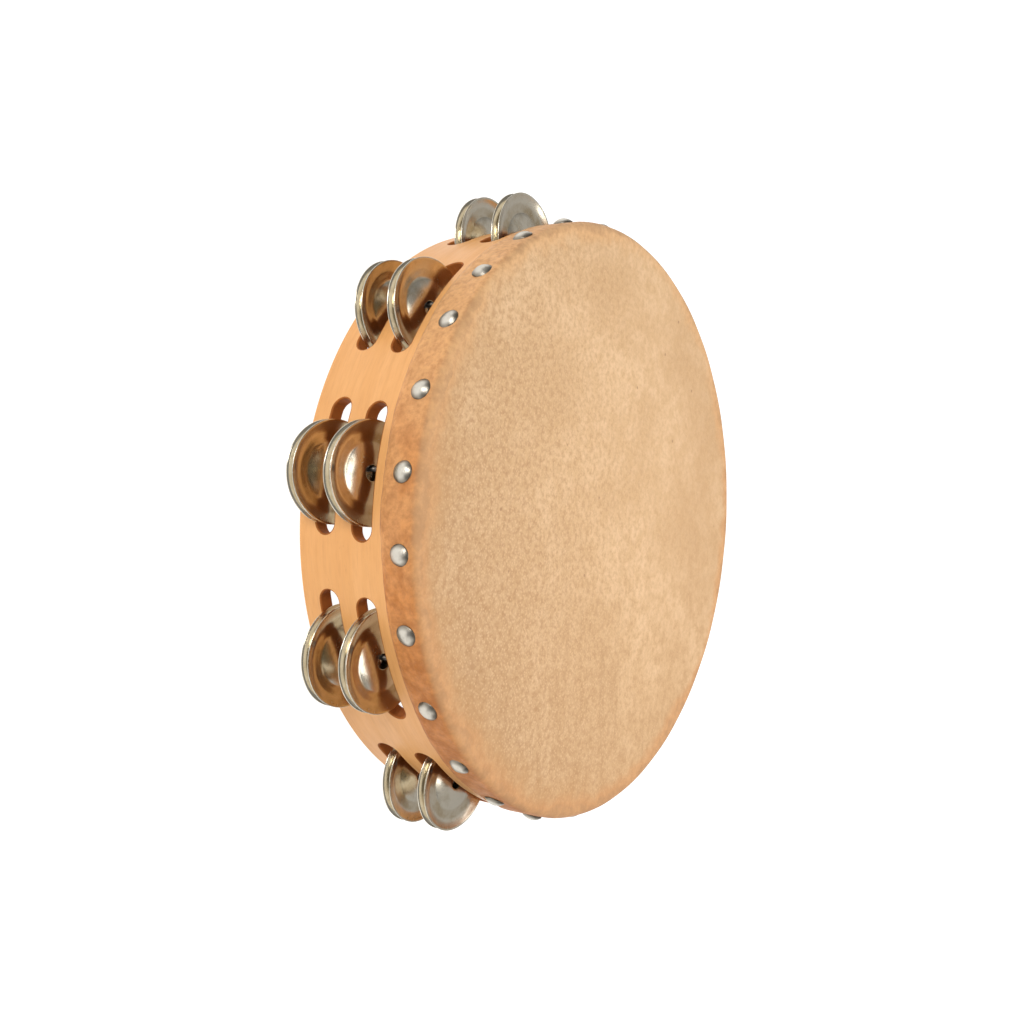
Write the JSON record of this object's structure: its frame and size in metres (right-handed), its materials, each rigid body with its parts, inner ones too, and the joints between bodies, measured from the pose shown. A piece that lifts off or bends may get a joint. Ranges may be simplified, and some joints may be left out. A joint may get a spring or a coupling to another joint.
{
  "type": "tambourine",
  "caption": "Hand drum: a skin head tacked over a shallow bent wooden hoop, with pairs of loose metal jingles on pins in slots round it and a plain stretch of hoop to grip.",
  "frame": {"origin": "on the drum's axis, in the plane of the open back rim that it rests on", "axes": "+Z along the drum's axis, from the open back towards the skin head; +X from the axis through the fourth jingle station; the stations stand every 33 degrees, and the plain grip is centred 213 degrees anticlockwise from +X"},
  "size_m": [0.2824, 0.2836, 0.0576],
  "materials": {
    "hoop": "clear satin lacquer",
    "skin": "dry natural calfskin, matt",
    "jingle": "bright nickel plate",
    "pin": "drawn wire",
    "tack": "nickel-plated dome"
  },
  "bodies": {
    "frame": {"hoop": "hoop", "skin_head": "skin", "pin_1": "pin", "pin_2": "pin", "pin_3": "pin", "pin_4": "pin", "pin_5": "pin", "pin_6": "pin", "pin_7": "pin", "pin_8": "pin", "pin_9": "pin"},
    "jingle_rear_1_lower": {"jingle_rear_1_lower": "jingle"},
    "jingle_rear_1_upper": {"jingle_rear_1_upper": "jingle"},
    "jingle_rear_2_lower": {"jingle_rear_2_lower": "jingle"},
    "jingle_rear_2_upper": {"jingle_rear_2_upper": "jingle"},
    "jingle_rear_3_lower": {"jingle_rear_3_lower": "jingle"},
    "jingle_rear_3_upper": {"jingle_rear_3_upper": "jingle"},
    "jingle_rear_4_lower": {"jingle_rear_4_lower": "jingle"},
    "jingle_rear_4_upper": {"jingle_rear_4_upper": "jingle"},
    "jingle_rear_5_lower": {"jingle_rear_5_lower": "jingle"},
    "jingle_rear_5_upper": {"jingle_rear_5_upper": "jingle"},
    "jingle_rear_6_lower": {"jingle_rear_6_lower": "jingle"},
    "jingle_rear_6_upper": {"jingle_rear_6_upper": "jingle"},
    "jingle_rear_7_lower": {"jingle_rear_7_lower": "jingle"},
    "jingle_rear_7_upper": {"jingle_rear_7_upper": "jingle"},
    "jingle_rear_8_lower": {"jingle_rear_8_lower": "jingle"},
    "jingle_rear_8_upper": {"jingle_rear_8_upper": "jingle"},
    "jingle_rear_9_lower": {"jingle_rear_9_lower": "jingle"},
    "jingle_rear_9_upper": {"jingle_rear_9_upper": "jingle"},
    "jingle_front_1_lower": {"jingle_front_1_lower": "jingle"},
    "jingle_front_1_upper": {"jingle_front_1_upper": "jingle"},
    "jingle_front_2_lower": {"jingle_front_2_lower": "jingle"},
    "jingle_front_2_upper": {"jingle_front_2_upper": "jingle"},
    "jingle_front_3_lower": {"jingle_front_3_lower": "jingle"},
    "jingle_front_3_upper": {"jingle_front_3_upper": "jingle"},
    "jingle_front_4_lower": {"jingle_front_4_lower": "jingle"},
    "jingle_front_4_upper": {"jingle_front_4_upper": "jingle"},
    "jingle_front_5_lower": {"jingle_front_5_lower": "jingle"},
    "jingle_front_5_upper": {"jingle_front_5_upper": "jingle"},
    "jingle_front_6_lower": {"jingle_front_6_lower": "jingle"},
    "jingle_front_6_upper": {"jingle_front_6_upper": "jingle"},
    "jingle_front_7_lower": {"jingle_front_7_lower": "jingle"},
    "jingle_front_7_upper": {"jingle_front_7_upper": "jingle"},
    "jingle_front_8_lower": {"jingle_front_8_lower": "jingle"},
    "jingle_front_8_upper": {"jingle_front_8_upper": "jingle"},
    "jingle_front_9_lower": {"jingle_front_9_lower": "jingle"},
    "jingle_front_9_upper": {"jingle_front_9_upper": "jingle"}
  },
  "joints": [
    {"name": "rear_1_spin", "type": "hinge", "parent": "frame", "child": "jingle_rear_1_lower", "pos_m": [-0.02071, -0.12238, 0.01004], "axis": [-0.0082, -0.0517, 0.9986], "continuous": true},
    {"name": "rear_1_clash", "type": "slide", "parent": "jingle_rear_1_lower", "child": "jingle_rear_1_upper", "axis": [-0.0082, -0.0517, 0.9986], "range_m": [0, 0.0028]},
    {"name": "rear_2_spin", "type": "hinge", "parent": "frame", "child": "jingle_rear_2_lower", "pos_m": [0.04881, -0.1133, 0.00948], "axis": [0.0071, -0.0159, 0.9998], "continuous": true},
    {"name": "rear_2_clash", "type": "slide", "parent": "jingle_rear_2_lower", "child": "jingle_rear_2_upper", "axis": [0.0071, -0.0159, 0.9998], "range_m": [0, 0.0035]},
    {"name": "rear_3_spin", "type": "hinge", "parent": "frame", "child": "jingle_rear_3_lower", "pos_m": [0.10204, -0.0677, 0.01091], "axis": [0.0585, -0.038, 0.9976], "continuous": true},
    {"name": "rear_3_clash", "type": "slide", "parent": "jingle_rear_3_lower", "child": "jingle_rear_3_upper", "axis": [0.0585, -0.038, 0.9976], "range_m": [0, 0.0018]},
    {"name": "rear_4_spin", "type": "hinge", "parent": "frame", "child": "jingle_rear_4_lower", "pos_m": [0.12202, -0.00051, 0.01016], "axis": [0.0349, 0, 0.9994], "continuous": true},
    {"name": "rear_4_clash", "type": "slide", "parent": "jingle_rear_4_lower", "child": "jingle_rear_4_upper", "axis": [0.0349, 0, 0.9994], "range_m": [0, 0.0027]},
    {"name": "rear_5_spin", "type": "hinge", "parent": "frame", "child": "jingle_rear_5_lower", "pos_m": [0.10211, 0.06671, 0.01056], "axis": [0.0293, 0.019, 0.9994], "continuous": true},
    {"name": "rear_5_clash", "type": "slide", "parent": "jingle_rear_5_lower", "child": "jingle_rear_5_upper", "axis": [0.0293, 0.019, 0.9994], "range_m": [0, 0.0023]},
    {"name": "rear_6_spin", "type": "hinge", "parent": "frame", "child": "jingle_rear_6_lower", "pos_m": [0.04878, 0.11221, 0.01124], "axis": [0.0213, 0.0478, 0.9986], "continuous": true},
    {"name": "rear_6_clash", "type": "slide", "parent": "jingle_rear_6_lower", "child": "jingle_rear_6_upper", "axis": [0.0213, 0.0478, 0.9986], "range_m": [0, 0.0016]},
    {"name": "rear_7_spin", "type": "hinge", "parent": "frame", "child": "jingle_rear_7_lower", "pos_m": [-0.02068, 0.12118, 0.01003], "axis": [-0.0218, 0.1375, 0.9903], "continuous": true},
    {"name": "rear_7_clash", "type": "slide", "parent": "jingle_rear_7_lower", "child": "jingle_rear_7_upper", "axis": [-0.0218, 0.1375, 0.9903], "range_m": [0, 0.0024]},
    {"name": "rear_8_spin", "type": "hinge", "parent": "frame", "child": "jingle_rear_8_lower", "pos_m": [-0.08397, 0.09118, 0.00964], "axis": [-0.035, 0.0389, 0.9986], "continuous": true},
    {"name": "rear_8_clash", "type": "slide", "parent": "jingle_rear_8_lower", "child": "jingle_rear_8_upper", "axis": [-0.035, 0.0389, 0.9986], "range_m": [0, 0.0032]},
    {"name": "rear_9_spin", "type": "hinge", "parent": "frame", "child": "jingle_rear_9_lower", "pos_m": [-0.12063, 0.03143, 0.01116], "axis": [-0.0337, 0.009, 0.9994], "continuous": true},
    {"name": "rear_9_clash", "type": "slide", "parent": "jingle_rear_9_lower", "child": "jingle_rear_9_upper", "axis": [-0.0337, 0.009, 0.9994], "range_m": [0, 0.0017]},
    {"name": "front_1_spin", "type": "hinge", "parent": "frame", "child": "jingle_front_1_lower", "pos_m": [-0.02072, -0.12246, 0.02858], "axis": [-0.0027, -0.0172, 0.9998], "continuous": true},
    {"name": "front_1_clash", "type": "slide", "parent": "jingle_front_1_lower", "child": "jingle_front_1_upper", "axis": [-0.0027, -0.0172, 0.9998], "range_m": [0, 0.0025]},
    {"name": "front_2_spin", "type": "hinge", "parent": "frame", "child": "jingle_front_2_lower", "pos_m": [0.04876, -0.1132, 0.02831], "axis": [0.0284, -0.0637, 0.9976], "continuous": true},
    {"name": "front_2_clash", "type": "slide", "parent": "jingle_front_2_lower", "child": "jingle_front_2_upper", "axis": [0.0284, -0.0637, 0.9976], "range_m": [0, 0.0025]},
    {"name": "front_3_spin", "type": "hinge", "parent": "frame", "child": "jingle_front_3_lower", "pos_m": [0.10211, -0.06774, 0.02766], "axis": [0.0293, -0.019, 0.9994], "continuous": true},
    {"name": "front_3_clash", "type": "slide", "parent": "jingle_front_3_lower", "child": "jingle_front_3_upper", "axis": [0.0293, -0.019, 0.9994], "range_m": [0, 0.0033]},
    {"name": "front_4_spin", "type": "hinge", "parent": "frame", "child": "jingle_front_4_lower", "pos_m": [0.12198, -0.00051, 0.02894], "axis": [0.0523, 0, 0.9986], "continuous": true},
    {"name": "front_4_clash", "type": "slide", "parent": "jingle_front_4_lower", "child": "jingle_front_4_upper", "axis": [0.0523, 0, 0.9986], "range_m": [0, 0.002]},
    {"name": "front_5_spin", "type": "hinge", "parent": "frame", "child": "jingle_front_5_lower", "pos_m": [0.10211, 0.06671, 0.02946], "axis": [0.0293, 0.019, 0.9994], "continuous": true},
    {"name": "front_5_clash", "type": "slide", "parent": "jingle_front_5_lower", "child": "jingle_front_5_upper", "axis": [0.0293, 0.019, 0.9994], "range_m": [0, 0.0015]},
    {"name": "front_6_spin", "type": "hinge", "parent": "frame", "child": "jingle_front_6_lower", "pos_m": [0.04875, 0.11214, 0.02789], "axis": [0.0354, 0.0796, 0.9962], "continuous": true},
    {"name": "front_6_clash", "type": "slide", "parent": "jingle_front_6_lower", "child": "jingle_front_6_upper", "axis": [0.0354, 0.0796, 0.9962], "range_m": [0, 0.0029]},
    {"name": "front_7_spin", "type": "hinge", "parent": "frame", "child": "jingle_front_7_lower", "pos_m": [-0.02069, 0.12121, 0.02805], "axis": [-0.0191, 0.1204, 0.9925], "continuous": true},
    {"name": "front_7_clash", "type": "slide", "parent": "jingle_front_7_lower", "child": "jingle_front_7_upper", "axis": [-0.0191, 0.1204, 0.9925], "range_m": [0, 0.0025]},
    {"name": "front_8_spin", "type": "hinge", "parent": "frame", "child": "jingle_front_8_lower", "pos_m": [-0.084, 0.09121, 0.02806], "axis": [-0.0234, 0.0259, 0.9994], "continuous": true},
    {"name": "front_8_clash", "type": "slide", "parent": "jingle_front_8_lower", "child": "jingle_front_8_upper", "axis": [-0.0234, 0.0259, 0.9994], "range_m": [0, 0.0029]},
    {"name": "front_9_spin", "type": "hinge", "parent": "frame", "child": "jingle_front_9_lower", "pos_m": [-0.12059, 0.03142, 0.02934], "axis": [-0.0506, 0.0135, 0.9986], "continuous": true},
    {"name": "front_9_clash", "type": "slide", "parent": "jingle_front_9_lower", "child": "jingle_front_9_upper", "axis": [-0.0506, 0.0135, 0.9986], "range_m": [0, 0.0016]}
  ]
}
